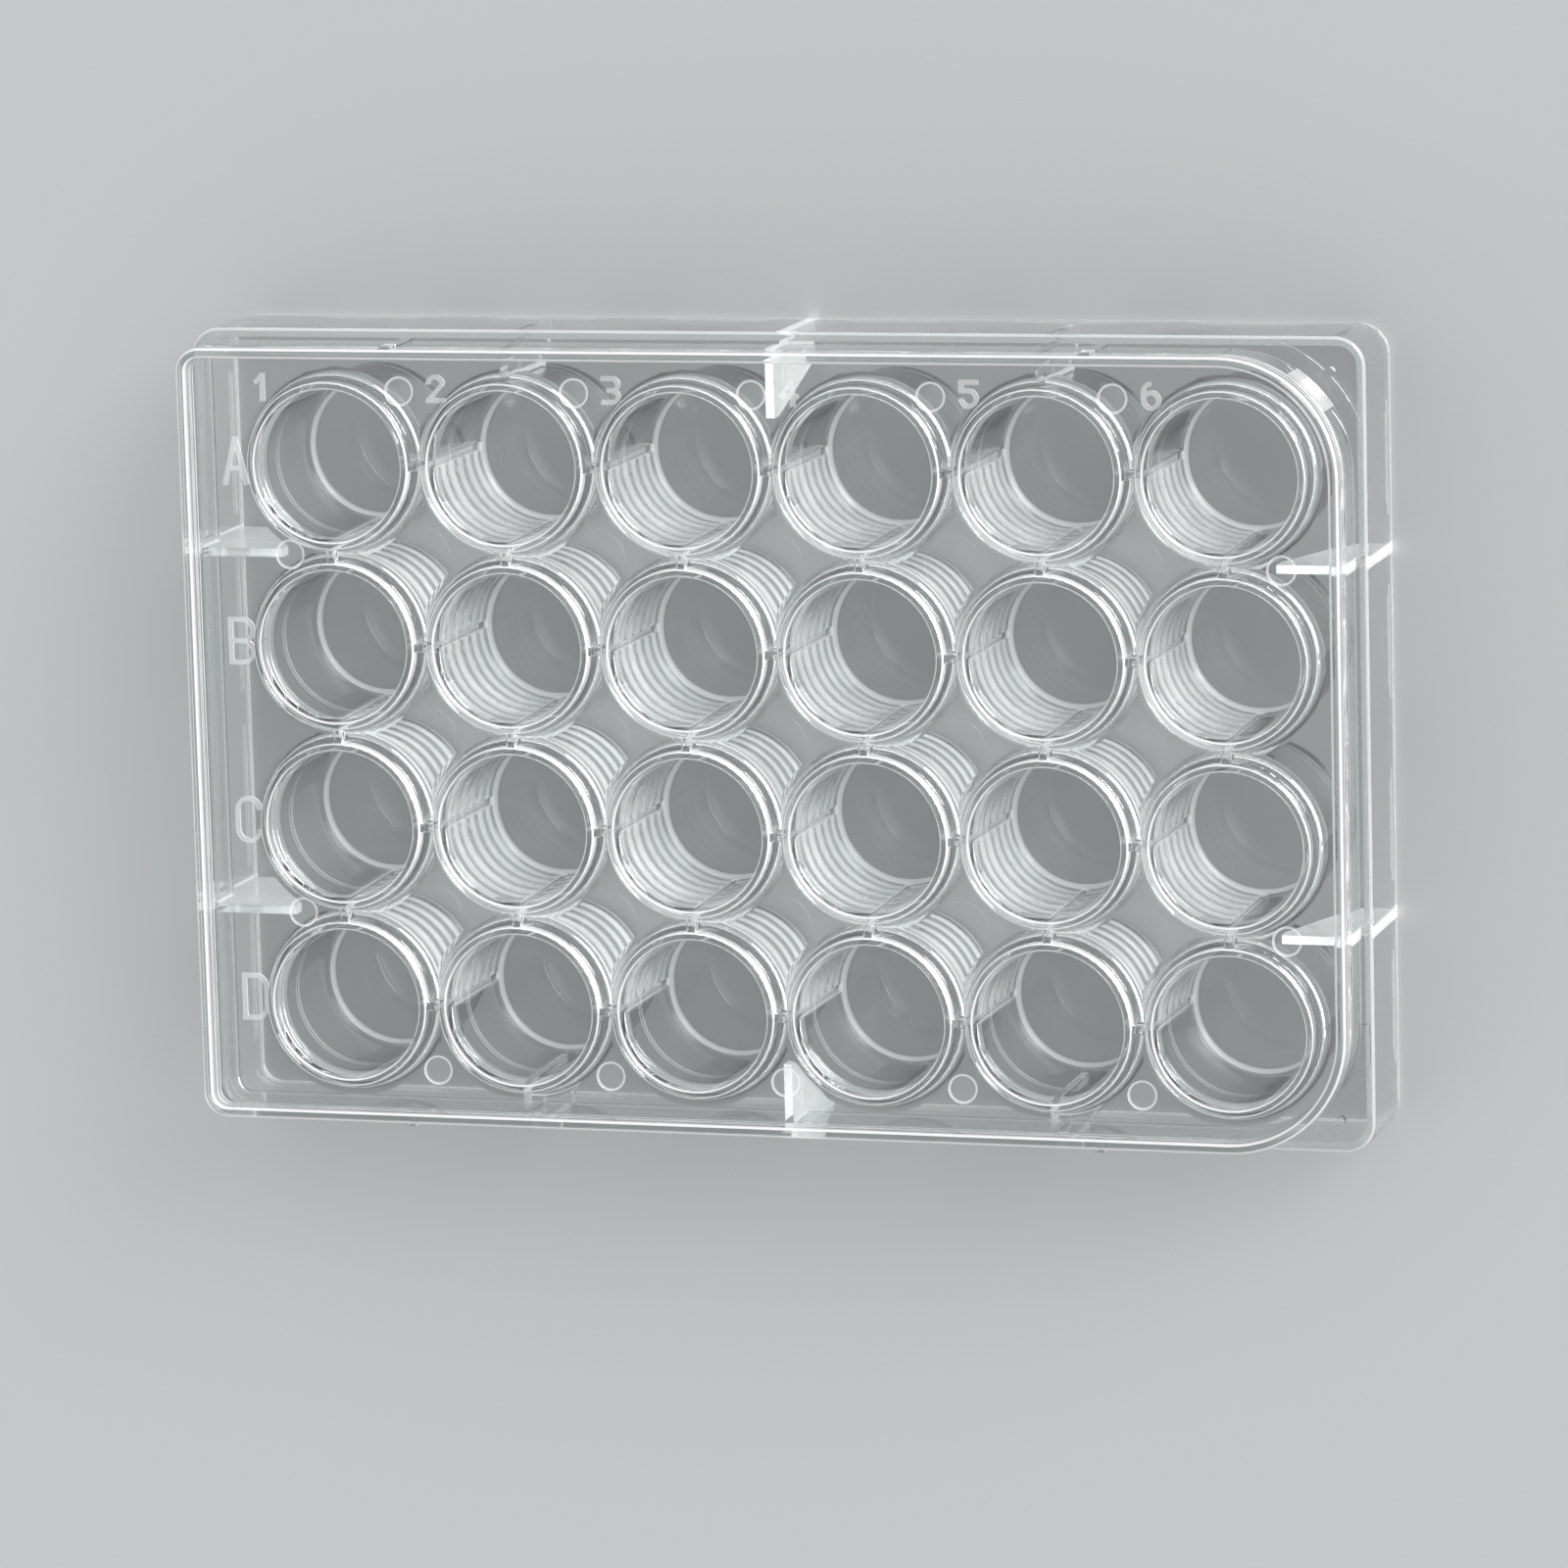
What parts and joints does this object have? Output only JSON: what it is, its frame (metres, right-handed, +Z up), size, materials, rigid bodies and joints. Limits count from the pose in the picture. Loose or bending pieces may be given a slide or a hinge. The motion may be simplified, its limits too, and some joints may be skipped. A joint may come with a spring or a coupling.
{
  "type": "well plate",
  "caption": "Flat clear plastic plate with a grid of round flat-bottomed wells inside a raised frame, standing on a plain skirt, for growing and testing small liquid samples.",
  "frame": {"origin": "centre of the rectangular base's underside", "axes": "+X along the rows, from column 1 to column 6; +Y along the columns, from row D to row A; +Z up, out of the wells' mouths"},
  "size_m": [0.1278, 0.0854, 0.0203],
  "materials": {
    "clear_polystyrene": "clear moulded polystyrene, polished, with faint flow and pin marks"
  },
  "bodies": {
    "root": {"plate": "clear_polystyrene"}
  },
  "joints": []
}
